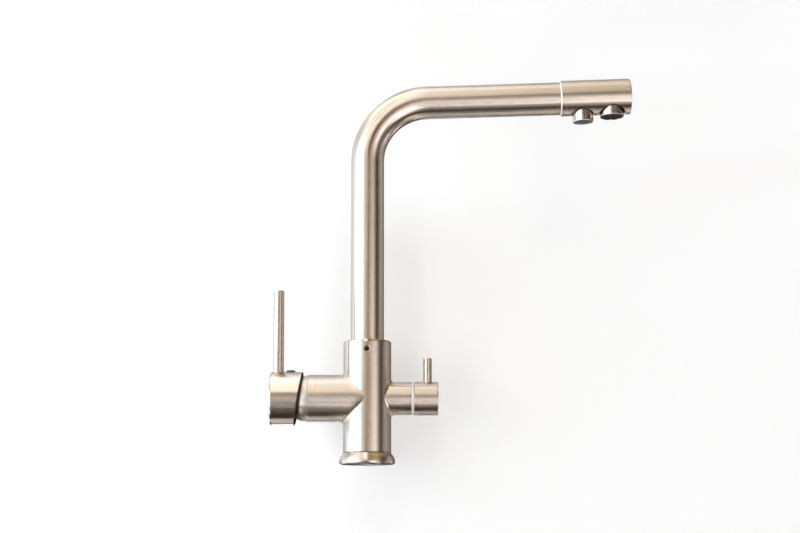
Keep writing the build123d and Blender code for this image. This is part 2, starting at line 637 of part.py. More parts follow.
with BuildPart() as filter_spindle:
    with BuildSketch(Plane.XZ):
        with BuildLine():
            Polyline((23.45, Z_AXIS), (23.45, Z_AXIS + 6.7), (25.85, Z_AXIS + 6.7), (25.85, Z_AXIS + 4.0),
                     (30.0, Z_AXIS + 4.0), (30.0, Z_AXIS + 2.5), (31.8, Z_AXIS + 2.5), (31.8, Z_AXIS + 4.0),
                     (40.75, Z_AXIS + 4.0), (40.75, Z_AXIS + 3.2), (41.45, Z_AXIS + 3.2), (41.45, Z_AXIS + 4.0),
                     (46.0, Z_AXIS + 4.0), (46.0, Z_AXIS + 3.5), (58.5, Z_AXIS + 3.5), (59.0, Z_AXIS + 3.0),
                     (59.0, Z_AXIS), close=True)
        make_face()
    revolve(axis=SIDE_AXIS)
    with BuildSketch(RIGHT.offset(23.46)):
        Rectangle(12.4, 2.0)
    extrude(amount=-0.8)
    # splines that the knob hub grips
    with BuildSketch(RIGHT.offset(47.0)):
        with PolarLocations(3.65, 20):
            Rectangle(0.5, 0.45)
    extrude(amount=13, mode=Mode.SUBTRACT)
filter_spindle.part.label = "filter_spindle"
export_step(filter_spindle.part, "parts/filter_spindle.step")

with BuildPart() as spindle_seal:
    with BuildSketch(Plane.XZ):
        with Locations((30.9, Z_AXIS + 3.26)):
            Circle(0.73)
    revolve(axis=SIDE_AXIS)
spindle_seal.part.label = "spindle_seal"
export_step(spindle_seal.part, "parts/spindle_seal.step")

with BuildPart() as spindle_circlip:
    with BuildSketch(RIGHT.offset(40.8)):
        Circle(5.4)
        Circle(3.25, mode=Mode.SUBTRACT)
        with Locations((0, -5)):
            Rectangle(2.2, 6, mode=Mode.SUBTRACT)
    extrude(amount=0.6)
spindle_circlip.part.label = "spindle_circlip"
export_step(spindle_circlip.part, "parts/spindle_circlip.step")

with BuildPart() as filter_gap_ring:
    with BuildSketch(RIGHT.offset(X_RIGHT)):
        Circle(14.45)
        Circle(9.9, mode=Mode.SUBTRACT)
    extrude(amount=X_GAP_END - X_RIGHT)
    chamfer(filter_gap_ring.edges().filter_by(GeomType.CIRCLE).group_by(Axis.X)[-1], length=0.2)
filter_gap_ring.part.label = "filter_gap_ring"
export_step(filter_gap_ring.part, "parts/filter_gap_ring.step")

with BuildPart() as filter_knob:
    with BuildSketch(RIGHT.offset(X_KNOB)):
        Circle(R_KNOB)
    extrude(amount=X_KNOB_END - X_KNOB)
    fillet(filter_knob.edges().group_by(Axis.X)[-1], radius=0.7)
    chamfer(filter_knob.edges().group_by(Axis.X)[0], length=0.3)
    with BuildSketch(RIGHT.offset(X_KNOB)):
        Circle(12.9)
    extrude(amount=18.0, mode=Mode.SUBTRACT)
    with BuildSketch(RIGHT.offset(46.5)):
        Circle(6.4)
    extrude(amount=14.5)
    with BuildSketch(RIGHT.offset(46.5)):
        Circle(3.55)
    extrude(amount=13.2, mode=Mode.SUBTRACT)
    with BuildSketch(RIGHT.offset(45)):
        Circle(4.2)
    extrude(amount=1.6, mode=Mode.SUBTRACT)
    # seat and threaded hole of the pin, grub screw hole opposite
    with BuildSketch(Plane.XY.offset(Z_AXIS + R_KNOB - 0.6)):
        with Locations((X_PIN, 0)):
            Circle(4.05)
    extrude(amount=3, mode=Mode.SUBTRACT)
    with BuildSketch(Plane.XY.offset(Z_AXIS + 12)):
        with Locations((X_PIN, 0)):
            Circle(2.5)
    extrude(amount=5, mode=Mode.SUBTRACT)
    with BuildSketch(Plane.XY.offset(Z_AXIS - 2)):
        with Locations((X_PIN, 0)):
            Circle(1.65)
    extrude(amount=-15, mode=Mode.SUBTRACT)
filter_knob.part.label = "filter_knob"
export_step(filter_knob.part, "parts/filter_knob.step")

with BuildPart() as filter_pin_lever:
    with BuildSketch(Plane.XY.offset(Z_AXIS + R_KNOB - 0.58)):
        with Locations((X_PIN, 0)):
            Circle(4.0)
    extrude(amount=Z_PIN_TOP - (Z_AXIS + R_KNOB - 0.58))
    fillet(filter_pin_lever.edges().group_by(Axis.Z)[-1], radius=0.6)
    with BuildSketch(Plane.XY.offset(Z_AXIS + R_KNOB - 0.58)):
        with Locations((X_PIN, 0)):
            Circle(2.45)
    extrude(amount=-4.5)
filter_pin_lever.part.label = "filter_pin_lever"
export_step(filter_pin_lever.part, "parts/filter_pin_lever.step")

with BuildPart() as filter_knob_screw:
    with BuildSketch(Plane.XY.offset(Z_AXIS - 3.6)):
        with Locations((X_PIN, 0)):
            Circle(1.6)
    extrude(amount=-4.4)
    with BuildSketch(Plane.XY.offset(Z_AXIS - 8.0)):
        with Locations((X_PIN, 0)):
            RegularPolygon(radius=0.85, side_count=6)
    extrude(amount=1.4, mode=Mode.SUBTRACT)
filter_knob_screw.part.label = "filter_knob_screw"
export_step(filter_knob_screw.part, "parts/filter_knob_screw.step")

# -------------------------------------------------------------------- spout
with BuildPart() as swivel_adapter:
    with BuildSketch(Plane.XZ):
        with BuildLine():
            Polyline((12.0, 85.0), (16.7, 85.0), (16.7, 88.3), (14.9, 88.3), (14.9, 90.7), (16.7, 90.7),
                     (16.7, 93.7), (14.9, 93.7), (14.9, 96.1), (16.7, 96.1), (16.7, 99.05), (14.9, 99.05),
                     (14.9, 104.45), (16.7, 104.45), (16.7, Z_TUBE), (13.72, Z_TUBE), (13.72, 116.0),
                     (12.0, 116.0), close=True)
        make_face()
    revolve(axis=Axis.Z)
    chamfer(swivel_adapter.edges().group_by(Axis.Z)[0].sort_by(SortBy.RADIUS)[-1], length=0.5)
swivel_adapter.part.label = "swivel_adapter"
export_step(swivel_adapter.part, "parts/swivel_adapter.step")

with BuildPart() as swivel_seals:
    with BuildSketch(Plane.XZ):
        with Locations((15.85, 89.5), (15.85, 94.9)):
            Circle(0.9)
    revolve(axis=Axis.Z)
swivel_seals.part.label = "swivel_seals"
export_step(swivel_seals.part, "parts/swivel_seals.step")

with BuildPart() as spout_tube:
    with BuildLine() as spout_path:
        Line((0, 0, Z_TUBE + 0.02), (0, 0, Z_BEND))
        ThreePointArc(
            (0, 0, Z_BEND),
            (R_BEND - R_BEND * math.cos(math.radians(TURN / 2)), 0, Z_BEND + R_BEND * math.sin(math.radians(TURN / 2))),
            arm_point(T_LEN, 0))
        Line(arm_point(T_LEN, 0), arm_point(S_TUBE_END, 0))
    with BuildSketch(Plane.XY.offset(Z_TUBE + 0.02)):
        Circle(R_TUBE)
        Circle(R_TUBE - WALL, mode=Mode.SUBTRACT)
    sweep(path=spout_path.line)
spout_tube.part.label = "spout_tube"
export_step(spout_tube.part, "parts/spout_tube.step")

# inner tube for the filtered water, on the centreline of the spout
with BuildPart() as filter_inner_tube:
    with BuildLine() as inner_path:
        Line((0, 0, 87.5), (0, 0, Z_BEND))
        ThreePointArc(
            (0, 0, Z_BEND),
            (R_BEND - R_BEND * math.cos(math.radians(TURN / 2)), 0, Z_BEND + R_BEND * math.sin(math.radians(TURN / 2))),
            arm_point(T_LEN, 0))
        Line(arm_point(T_LEN, 0), arm_point(193.5, 0))
    with BuildSketch(Plane.XY.offset(87.5)):
        Circle(4.0)
        Circle(2.8, mode=Mode.SUBTRACT)
    sweep(path=inner_path.line)
filter_inner_tube.part.label = "filter_inner_tube"
export_step(filter_inner_tube.part, "parts/filter_inner_tube.step")
tube_length = (Z_BEND - 87.5) + R_BEND * math.radians(TURN) + (193.5 - T_LEN)
print("inner tube length", round(tube_length, 1), "radius", R_BEND,
      "volume", round(filter_inner_tube.part.volume, 1), "expected", round(math.pi * (4.0 ** 2 - 2.8 ** 2) * tube_length, 1))

# --------------------------------------------------------------------- head
with BuildPart() as head_spigot:
    with BuildSketch(ARM):
        with BuildLine():
            Polyline((168.0, 11.6), (168.0, 13.75), (181.55, 13.75), (181.55, 14.5), (183.2, 14.5), (183.2, 13.0),
                     (185.1, 13.0), (185.1, 14.5), (186.9, 14.5), (186.9, 11.6), close=True)
        make_face()
    revolve(axis=ARM_AXIS)
head_spigot.part.label = "head_spigot"
export_step(head_spigot.part, "parts/head_spigot.step")

with BuildPart() as head_seal:
    with BuildSketch(ARM):
        with Locations((184.15, 13.8)):
            Circle(0.75)
    revolve(axis=ARM_AXIS)
head_seal.part.label = "head_seal"
export_step(head_seal.part, "parts/head_seal.step")

with BuildPart() as head_collar:
    with BuildSketch(ARM):
        with BuildLine():
            Polyline((S_COLLAR, 15.05), (S_COLLAR, 15.6), (S_COLLAR + 0.85, R_HEAD), (S_HEAD - 0.17, R_HEAD),
                     (S_HEAD - 0.05, R_HEAD - 0.12), (S_HEAD - 0.05, 15.05), close=True)
        make_face()
    revolve(axis=ARM_AXIS)
head_collar.part.label = "head_collar"
export_step(head_collar.part, "parts/head_collar.step")

with BuildPart() as spout_head:
    with BuildSketch(ARM):
        with BuildLine():
            Polyline((S_HEAD, R_HEAD_BORE), (S_HEAD, R_HEAD - 0.12), (S_HEAD + 0.12, R_HEAD), (S_HEAD_END, R_HEAD),
                     (S_HEAD_END, 0), (S_HEAD_END - 2.4, 0), (S_HEAD_END - 2.4, R_HEAD_BORE), close=True)
        make_face()
    revolve(axis=ARM_AXIS)
    fillet(spout_head.edges().filter_by(GeomType.CIRCLE).group_by(Axis((0, 0, Z_ARM), (ca, 0, sa)))[-1], radius=1.1)
    # openings for the two outlets, with a fine broken edge
    with BuildSketch(down_plane(S_FILTER, 0)):
        Circle(R_FILTER_HOLE)
    extrude(amount=25, mode=Mode.SUBTRACT)
    with BuildSketch(down_plane(S_MIXED, 0)):
        Circle(R_MIXED_HOLE)
    extrude(amount=25, mode=Mode.SUBTRACT)
spout_head.part.label = "spout_head"
export_step(spout_head.part, "parts/spout_head.step")

# core that carries both outlets and keeps their waters apart
with BuildPart() as head_core:
    with BuildSketch(ACROSS.offset(189.5)):
        Circle(R_HEAD_BORE - 0.1)
    extrude(amount=49.8)
    with BuildSketch(ACROSS.offset(189.5)):
        Circle(4.1)
    extrude(amount=10.5, mode=Mode.SUBTRACT)
    with BuildSketch(ACROSS.offset(189.5)):
        with Locations((0, 9.2)):
            Circle(4.2)
    extrude(amount=40.0, mode=Mode.SUBTRACT)
    with BuildSketch(down_plane(S_FILTER, 0)):
        Circle(2.6)
    extrude(amount=6, mode=Mode.SUBTRACT)
    with BuildSketch(down_plane(S_FILTER, -5.4)):
        Circle(8.1)
    extrude(amount=12, mode=Mode.SUBTRACT)
    with BuildSketch(down_plane(S_FILTER, -11.0)):
        Circle(R_FILTER_HOLE + 0.05)
    extrude(amount=12, mode=Mode.SUBTRACT)
    with BuildSketch(down_plane(S_MIXED, 9.2)):
        Circle(4.2)
    extrude(amount=12, mode=Mode.SUBTRACT)
    with BuildSketch(down_plane(S_MIXED, -1.0)):
        Circle(9.8)
    extrude(amount=20, mode=Mode.SUBTRACT)
    with BuildSketch(down_plane(S_MIXED, -8.5)):
        Circle(R_MIXED_HOLE + 0.05)
    extrude(amount=12, mode=Mode.SUBTRACT)
    # groove for the seal on the inner tube
    with BuildSketch(ACROSS.offset(191.0)):
        Circle(5.5)
    extrude(amount=1.8, mode=Mode.SUBTRACT)
head_core.part.label = "head_core"
export_step(head_core.part, "parts/head_core.step")

with BuildPart() as inner_tube_seal:
    with BuildSketch(ARM):
        with Locations((191.9, 4.76)):
            Circle(0.73)
    revolve(axis=ARM_AXIS)
inner_tube_seal.part.label = "inner_tube_seal"
export_step(inner_tube_seal.part, "parts/inner_tube_seal.step")

with BuildPart() as filter_outlet_sleeve:
    with BuildSketch(ARM):
        with BuildLine():
            s0 = S_FILTER
            Polyline((s0 + 8.3, Y_FILTER), (s0 + 9.15, Y_FILTER), (s0 + R_FILTER, Y_FILTER + 0.35), (s0 + R_FILTER, -11.3),
                     (s0 + 8.05, -11.3), (s0 + 8.05, -6.8), (s0 + 6.3, -6.8), (s0 + 6.3, -13.5), (s0 + 8.3, -13.5), close=True)
        make_face()
    revolve(axis=FILTER_AXIS)
filter_outlet_sleeve.part.label = "filter_outlet_sleeve"
export_step(filter_outlet_sleeve.part, "parts/filter_outlet_sleeve.step")

with BuildPart() as filter_aerator_seal:
    with BuildSketch(down_plane(S_FILTER, -5.5)):
        Circle(7.9)
        Circle(5.4, mode=Mode.SUBTRACT)
    extrude(amount=1.2)
filter_aerator_seal.part.label = "filter_aerator_seal"
export_step(filter_aerator_seal.part, "parts/filter_aerator_seal.step")

with BuildPart() as filter_aerator_insert:
    with BuildSketch(down_plane(S_FILTER, -14.2)):
        Circle(8.22)
    extrude(amount=8.45)
    chamfer(filter_aerator_insert.edges().group_by(Axis.Z)[0], length=0.3)
    # flow straightener: a field of small holes inside a plain rim
    with BuildSketch(down_plane(S_FILTER, -14.2)):
        with HexLocations(1.15, 5, 5, major_radius=False):
            RegularPolygon(radius=1.02, side_count=6, major_radius=False)
        Circle(6.0, mode=Mode.INTERSECT)
    extrude(amount=10, mode=Mode.SUBTRACT)
filter_aerator_insert.part.label = "filter_aerator_insert"
export_step(filter_aerator_insert.part, "parts/filter_aerator_insert.step")

with BuildPart() as mixed_outlet_sleeve:
    with BuildSketch(ARM):
        with BuildLine():
            s1 = S_MIXED
            Polyline((s1 + 10.2, Y_MIXED), (s1 + 10.85, Y_MIXED), (s1 + R_MIXED, Y_MIXED + 0.35), (s1 + R_MIXED, -8.8),
                     (s1 + 9.75, -8.8), (s1 + 9.75, -3.0), (s1 + 8.5, -3.0), (s1 + 8.5, -10.6), (s1 + 10.2, -10.6), close=True)
        make_face()
    revolve(axis=MIXED_AXIS)
mixed_outlet_sleeve.part.label = "mixed_outlet_sleeve"
export_step(mixed_outlet_sleeve.part, "parts/mixed_outlet_sleeve.step")

with BuildPart() as mixed_aerator_seal:
    with BuildSketch(down_plane(S_MIXED, -1.1)):
        Circle(9.6)
        Circle(7.2, mode=Mode.SUBTRACT)
    extrude(amount=1.6)
mixed_aerator_seal.part.label = "mixed_aerator_seal"
export_step(mixed_aerator_seal.part, "parts/mixed_aerator_seal.step")

with BuildPart() as mixed_aerator_screen:
    with BuildSketch(down_plane(S_MIXED, -10.75)):
        Circle(10.0)
        with HexLocations(0.95, 9, 9, major_radius=False):
            Circle(0.6, mode=Mode.SUBTRACT)
    extrude(amount=0.4)
mixed_aerator_screen.part.label = "mixed_aerator_screen"
export_step(mixed_aerator_screen.part, "parts/mixed_aerator_screen.step")

with BuildPart() as mixed_aerator_insert:
    with BuildSketch(down_plane(S_MIXED, -11.4)):
        Circle(10.1)
    extrude(amount=-Y_MIXED - 11.4 + 0.75)
    # honeycomb in the middle, a castellated rim for the key
    with BuildSketch(down_plane(S_MIXED, -11.4)):
        with HexLocations(1.15, 7, 7, major_radius=False):
            RegularPolygon(radius=0.98, side_count=6, major_radius=False)
        Circle(7.4, mode=Mode.INTERSECT)
    extrude(amount=12, mode=Mode.SUBTRACT)
    with BuildSketch(down_plane(S_MIXED, Y_MIXED + 0.5)):
        Circle(7.9)
    extrude(amount=3, mode=Mode.SUBTRACT)
    with BuildSketch(down_plane(S_MIXED, Y_MIXED + 0.05)):
        with PolarLocations(9.2, 8):
            Rectangle(3.4, 2.3)
    extrude(amount=3, mode=Mode.SUBTRACT)
mixed_aerator_insert.part.label = "mixed_aerator_insert"
export_step(mixed_aerator_insert.part, "parts/mixed_aerator_insert.step")
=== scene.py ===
import bpy
import math
from mathutils import Matrix, Vector

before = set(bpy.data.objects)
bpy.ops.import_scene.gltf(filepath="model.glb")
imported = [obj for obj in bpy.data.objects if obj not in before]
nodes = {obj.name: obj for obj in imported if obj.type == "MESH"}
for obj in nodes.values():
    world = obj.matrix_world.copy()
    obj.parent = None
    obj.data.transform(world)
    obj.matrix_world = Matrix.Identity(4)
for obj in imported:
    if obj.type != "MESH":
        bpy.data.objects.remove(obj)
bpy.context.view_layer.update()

scene = bpy.context.scene

# ------------------------------------------------------------------ camera
# The photograph is 800 x 533; the focal length is 1650 px of it.
PITCH, YAW, ROLL = math.radians(9.18), math.radians(0.5), math.radians(-0.07)
forward = Vector((math.sin(YAW) * math.cos(PITCH), math.cos(YAW) * math.cos(PITCH), math.sin(PITCH)))
side0 = Vector((math.cos(YAW), -math.sin(YAW), 0.0))
up0 = side0.cross(forward)
side = side0 * math.cos(ROLL) + up0 * math.sin(ROLL)
up = up0 * math.cos(ROLL) - side0 * math.sin(ROLL)
cam_data = bpy.data.cameras.new("camera")
cam_data.sensor_width = 36.0
cam_data.lens = 36.0 * 1650.0 / 800.0
cam_data.clip_start, cam_data.clip_end = 0.05, 20.0
cam = bpy.data.objects.new("camera", cam_data)
scene.collection.objects.link(cam)
place = Vector((0.02954, 0.0, 0.17867)) - forward * 1.4978
cam.matrix_world = Matrix(((side.x, up.x, -forward.x, place.x),
                           (side.y, up.y, -forward.y, place.y),
                           (side.z, up.z, -forward.z, place.z),
                           (0, 0, 0, 1)))
scene.camera = cam
scene.view_settings.view_transform = "Standard"
scene.view_settings.look = "None"
scene.view_settings.exposure = 0.0
scene.view_settings.gamma = 1.0
scene.cycles.use_denoising = True


# ------------------------------------------------------------ node helpers
class Graph:
    """Small wrapper that builds shader nodes; inputs are numbers, tuples or sockets."""

    def __init__(self, tree):
        self.tree = tree
        tree.nodes.clear()

    def node(self, kind, **props):
        n = self.tree.nodes.new(kind)
        for k, v in props.items():
            setattr(n, k, v)
        return n

    def put(self, socket, value):
        if isinstance(value, bpy.types.NodeSocket):
            self.tree.links.new(value, socket)
        elif value is not None:
            if socket.type == "RGBA" and len(value) == 3:
                value = (*value, 1.0)
            socket.default_value = value

    def math(self, op, a, b=None, c=None, clamp=False):
        n = self.node("ShaderNodeMath", operation=op, use_clamp=clamp)
        for i, v in enumerate((a, b, c)):
            if v is not None:
                self.put(n.inputs[i], v)
        return n.outputs[0]

    def vec(self, op, a, b=None, scale=None):
        n = self.node("ShaderNodeVectorMath", operation=op)
        self.put(n.inputs[0], a)
        if b is not None:
            self.put(n.inputs[1], b)
        if scale is not None:
            self.put(n.inputs["Scale"], scale)
        return n.outputs["Value"] if op in ("DOT_PRODUCT", "LENGTH", "DISTANCE") else n.outputs[0]

    def split(self, v):
        n = self.node("ShaderNodeSeparateXYZ")
        self.put(n.inputs[0], v)
        return n.outputs[0], n.outputs[1], n.outputs[2]

    def join(self, x, y, z):
        n = self.node("ShaderNodeCombineXYZ")
        for i, v in enumerate((x, y, z)):
            self.put(n.inputs[i], v)
        return n.outputs[0]

    def mix(self, fac, a, b):
        n = self.node("ShaderNodeMix", data_type="RGBA")
        self.put(n.inputs[0], fac)
        self.put(n.inputs[6], a)
        self.put(n.inputs[7], b)
        return n.outputs[2]

    def mixv(self, fac, a, b):
        n = self.node("ShaderNodeMix", data_type="VECTOR")
        self.put(n.inputs[0], fac)
        self.put(n.inputs[4], a)
        self.put(n.inputs[5], b)
        return n.outputs[1]

    def noise(self, vector, scale=1.0, detail=2.0, rough=0.5):
        n = self.node("ShaderNodeTexNoise", noise_dimensions="3D")
        self.put(n.inputs["Vector"], vector)
        n.inputs["Scale"].default_value = scale
        n.inputs["Detail"].default_value = detail
        n.inputs["Roughness"].default_value = rough
        return n.outputs[0]

    def range(self, v, a, b, lo, hi, smooth=False):
        n = self.node("ShaderNodeMapRange", interpolation_type="SMOOTHSTEP" if smooth else "LINEAR")
        self.put(n.inputs[0], v)
        for i, q in zip((1, 2, 3, 4), (a, b, lo, hi)):
            self.put(n.inputs[i], q)
        return n.outputs[0]

    def scale_colour(self, colour, factor):
        return self.vec("SCALE", colour, scale=factor)


def new_material(name):
    m = bpy.data.materials.new(name)
    m.use_nodes = True
    g = Graph(m.node_tree)
    out = g.node("ShaderNodeOutputMaterial")
    bsdf = g.node("ShaderNodeBsdfPrincipled")
    g.tree.links.new(bsdf.outputs[0], out.inputs[0])
    return m, g, bsdf


def dress(names, material):
    for name in names:
        ob = nodes[name]
        if not ob.material_slots:
            ob.data.materials.append(material)
        for s in ob.material_slots:
            s.material = material


# ------------------------------------------------------------ studio light
# Soft lights round the tap: azimuth (0 = towards the camera, 90 = +X), elevation, spread in degrees, colour.
LIGHTS = [
    (-84.5, -0.7, 23.6, (0.63, 0.79, 0.86)),
    (-99.2, -7.1, 17.4, (1.18, 1.33, 1.55)),
    (-84.7, 60.9, 12.3, (2.77, 2.71, 2.52)),
    (-75.4, -43.7, 6.2, (5.24, 5.45, 6.24)),
    (-131.8, 19.2, 14.2, (0.86, 0.88, 0.90)),
    (-76.1, -10.6, 4.8, (5.97, 7.18, 8.74)),
    (-69.6, 15.3, 4.6, (6.11, 6.69, 7.79)),
    (-136.8, -30.0, 3.4, (10.23, 11.79, 12.86)),
    (-35.8, -27.4, 2.6, (20.00, 19.33, 18.37)),
    (39.3, -43.1, 8.4, (1.99, 1.75, 1.63)),
    (-58.7, 19.1, 2.6, (18.50, 16.74, 20.00)),
    (-50.0, 0.6, 2.6, (13.95, 17.17, 20.00)),
    (-38.4, 39.7, 9.5, (1.24, 1.34, 1.12)),
    (-129.7, 50.6, 8.7, (1.41, 1.32, 1.30)),
    (24.2, -28.0, 2.6, (13.72, 14.72, 15.87)),
    (64.1, 63.0, 10.0, (1.51, 1.06, 0.23)),
    (-165.4, 29.2, 5.6, (2.49, 2.48, 2.46)),
    (30.6, -3.8, 5.3, (2.67, 2.74, 2.80)),
    (-9.6, 46.3, 5.1, (3.19, 2.87, 2.61)),
    (-39.0, -12.1, 2.8, (11.15, 9.35, 8.49)),
    (25.7, -37.1, 2.6, (10.91, 10.84, 10.66)),
    (43.8, -3.6, 5.0, (2.83, 2.73, 2.69)),
    (42.2, -36.0, 2.6, (10.50, 9.14, 9.93)),
    (101.8, -15.8, 4.0, (4.01, 3.92, 3.79)),
    (-38.6, 1.8, 2.6, (6.35, 10.65, 10.15)),
    (112.7, 17.1, 9.2, (0.74, 0.72, 0.67)),
    (133.6, -23.5, 2.8, (8.14, 7.40, 7.91)),
    (-23.8, 15.8, 4.0, (3.83, 3.73, 3.52)),
    (-16.8, 63.2, 4.1, (3.32, 3.53, 3.45)),
    (-42.5, 18.9, 2.6, (11.04, 7.82, 6.92)),
    (16.1, -20.5, 2.6, (7.55, 7.63, 8.66)),
    (139.8, 7.2, 14.3, (0.26, 0.25, 0.25)),
    (-25.7, 82.3, 4.4, (2.28, 2.58, 3.03)),
    (102.2, -62.3, 2.6, (7.19, 7.33, 7.44)),
    (-176.1, -24.7, 2.6, (6.47, 6.90, 7.78)),
    (-25.4, -10.7, 3.2, (2.61, 4.18, 6.64)),
    (-156.1, 8.7, 6.5, (0.96, 1.06, 1.18)),
    (-84.2, 18.2, 4.5, (2.35, 2.08, 2.20)),
    (-86.5, -21.4, 3.2, (3.00, 4.21, 5.01)),
    (152.9, -52.9, 2.6, (6.17, 5.95, 5.25)),
    (86.6, -6.7, 8.3, (0.59, 0.56, 0.53)),
    (11.9, -12.5, 2.6, (5.68, 5.07, 4.03)),
    (137.5, -63.7, 3.0, (3.84, 3.88, 3.72)),
    (-33.8, 9.0, 3.8, (1.54, 2.23, 2.99)),
    (157.9, 51.5, 4.4, (1.75, 1.64, 1.57)),
    (55.4, -3.0, 6.3, (0.82, 0.78, 0.82)),
    (-7.0, 37.1, 2.6, (5.10, 4.38, 3.91)),
    (142.9, 69.9, 5.4, (1.37, 1.12, 0.53)),
    (-5.8, 30.1, 2.7, (4.01, 4.05, 3.57)),
    (37.4, -15.9, 2.6, (3.62, 4.23, 4.67)),
    (-164.4, -64.2, 4.0, (1.52, 1.60, 1.63)),
    (120.8, -43.8, 4.3, (1.54, 1.32, 1.09)),
    (-167.4, 73.3, 2.6, (3.07, 3.52, 4.24)),
    (-145.1, 80.2, 2.6, (2.79, 3.18, 4.32)),
    (-8.6, 55.2, 2.6, (3.64, 3.46, 3.16)),
    (-17.0, 72.4, 2.6, (2.62, 3.43, 4.09)),
    (-13.4, 3.4, 3.4, (2.09, 1.93, 1.80)),
    (163.2, -40.6, 2.6, (3.28, 3.20, 3.08)),
    (168.8, 87.5, 3.0, (2.13, 2.34, 2.47)),
    (178.6, 42.6, 2.6, (2.99, 2.90, 2.77)),
    (-172.2, -10.1, 2.6, (2.47, 2.69, 3.48)),
    (-170.4, 63.9, 2.6, (2.81, 2.72, 2.88)),
    (-1.6, 24.5, 3.4, (1.88, 1.67, 1.22)),
    (4.9, -4.6, 2.6, (3.25, 2.67, 2.03)),
    (-155.0, -75.9, 3.4, (1.32, 1.26, 1.23)),
    (-170.2, 54.6, 2.6, (2.24, 2.19, 1.97)),
    (-169.0, -54.1, 2.6, (1.95, 2.08, 2.15)),
    (20.3, 6.6, 3.8, (1.40, 0.83, 0.46)),
    (119.6, -11.8, 2.6, (1.85, 1.76, 1.78)),
    (-31.8, 10.6, 2.6, (1.41, 1.67, 2.14)),
    (-6.8, 8.7, 5.9, (0.33, 0.28, 0.29)),
    (-172.2, -43.7, 2.6, (1.35, 1.46, 1.55)),
]
AMBIENT = (0.026, 0.014, 0.006)

world = bpy.data.worlds.new("studio")
scene.world = world
world.use_nodes = True
w = Graph(world.node_tree)
direction = w.node("ShaderNodeTexCoord").outputs["Generated"]
total = None
for az, el, spread, colour in LIGHTS:
    a, e = math.radians(az), math.radians(el)
    mu = (math.sin(a) * math.cos(e), -math.cos(a) * math.cos(e), math.sin(e))
    k = 1.0 / math.radians(spread) ** 2
    lobe = w.math("EXPONENT", w.math("MULTIPLY_ADD", w.vec("DOT_PRODUCT", direction, mu), k, -k))
    part = w.vec("SCALE", colour, scale=lobe)
    total = part if total is None else w.vec("ADD", total, part)
total = w.vec("ADD", total, AMBIENT)
studio = w.node("ShaderNodeBackground")
w.put(studio.inputs[0], total)
white = w.node("ShaderNodeBackground")
white.inputs[0].default_value = (1.0, 1.0, 1.0, 1.0)
pick = w.node("ShaderNodeMixShader")
w.put(pick.inputs[0], w.node("ShaderNodeLightPath").outputs["Is Camera Ray"])
w.put(pick.inputs[1], studio.outputs[0])
w.put(pick.inputs[2], white.outputs[0])
w.put(w.node("ShaderNodeOutputWorld").inputs[0], pick.outputs[0])
world.cycles.sampling_method = "MANUAL"
world.cycles.sample_map_resolution = 1024


# -------------------------------------------------------------------- stage
def stage_sheet(name, matrix, half, centre, albedo, glow, fade, brighter=0.0, ends=None):
    """A white sheet that shows from its front, takes soft shadows and fades out at its rim."""
    mesh = bpy.data.meshes.new(name)
    n = 12
    verts = [(half * (2 * i / n - 1), half * (2 * j / n - 1), 0.0) for j in range(n + 1) for i in range(n + 1)]
    faces = [(j * (n + 1) + i, j * (n + 1) + i + 1, (j + 1) * (n + 1) + i + 1, (j + 1) * (n + 1) + i)
             for j in range(n) for i in range(n)]
    mesh.from_pydata(verts, [], faces)
    ob = bpy.data.objects.new(name, mesh)
    ob.matrix_world = matrix
    scene.collection.objects.link(ob)
    m = bpy.data.materials.new(name)
    m.use_nodes = True
    g = Graph(m.node_tree)
    out = g.node("ShaderNodeOutputMaterial")
    pos = g.node("ShaderNodeTexCoord").outputs["Object"]
    dist = g.vec("LENGTH", g.vec("SUBTRACT", pos, centre))
    keep = g.range(dist, fade[0], fade[1], 1.0, 0.0, smooth=True)
    back = g.node("ShaderNodeNewGeometry").outputs["Backfacing"]
    keep = g.math("MULTIPLY", keep, g.math("SUBTRACT", 1.0, back))
    if ends:
        # runs out softly where the lever and the spout swing past
        ex, ey, ez = g.split(pos)
        keep = g.math("MULTIPLY", keep, g.range(ex, ends[0][0], ends[0][1], 0.0, 1.0, smooth=True))
        keep = g.math("MULTIPLY", keep, g.range(ey, ends[1][0], ends[1][1], 1.0, 0.0, smooth=True))
        grain = g.node("ShaderNodeTexWhiteNoise")
        g.put(grain.inputs["Vector"], g.vec("SCALE", pos, scale=1000.0))
        keep = g.math("GREATER_THAN", keep, grain.outputs["Value"])
    diff = g.node("ShaderNodeBsdfDiffuse")
    diff.inputs[0].default_value = (*albedo, 1.0)
    emit = g.node("ShaderNodeEmission")
    emit.inputs[0].default_value = (*glow, 1.0)
    if brighter:
        # painted light: the sheet's glow is raised towards the lever side, so that side is a little brighter
        px, py, pz = g.split(pos)
        g.put(emit.inputs[1], g.range(px, -0.30, 0.30, 1.0 + brighter, 1.0, smooth=True))
    add = g.node("ShaderNodeAddShader")
    g.put(add.inputs[0], diff.outputs[0])
    g.put(add.inputs[1], emit.outputs[0])
    clear = g.node("ShaderNodeBsdfTransparent")
    mixer = g.node("ShaderNodeMixShader")
    g.put(mixer.inputs[0], keep)
    g.put(mixer.inputs[1], clear.outputs[0])
    g.put(mixer.inputs[2], add.outputs[0])
    g.put(out.inputs[0], mixer.outputs[0])
    mesh.materials.append(m)
    ob.visible_glossy = False
    ob.visible_diffuse = False
    ob.visible_transmission = False
    ob.visible_shadow = False
    return ob


FLOOR_ALBEDO, FLOOR_GLOW = (0.588, 0.586, 0.582), (0.405, 0.405, 0.405)
stage_sheet("floor", Matrix.Identity(4), 1.6, (0.0, 0.0, 0.0), FLOOR_ALBEDO, (0.56, 0.56, 0.56), (0.7, 1.4))
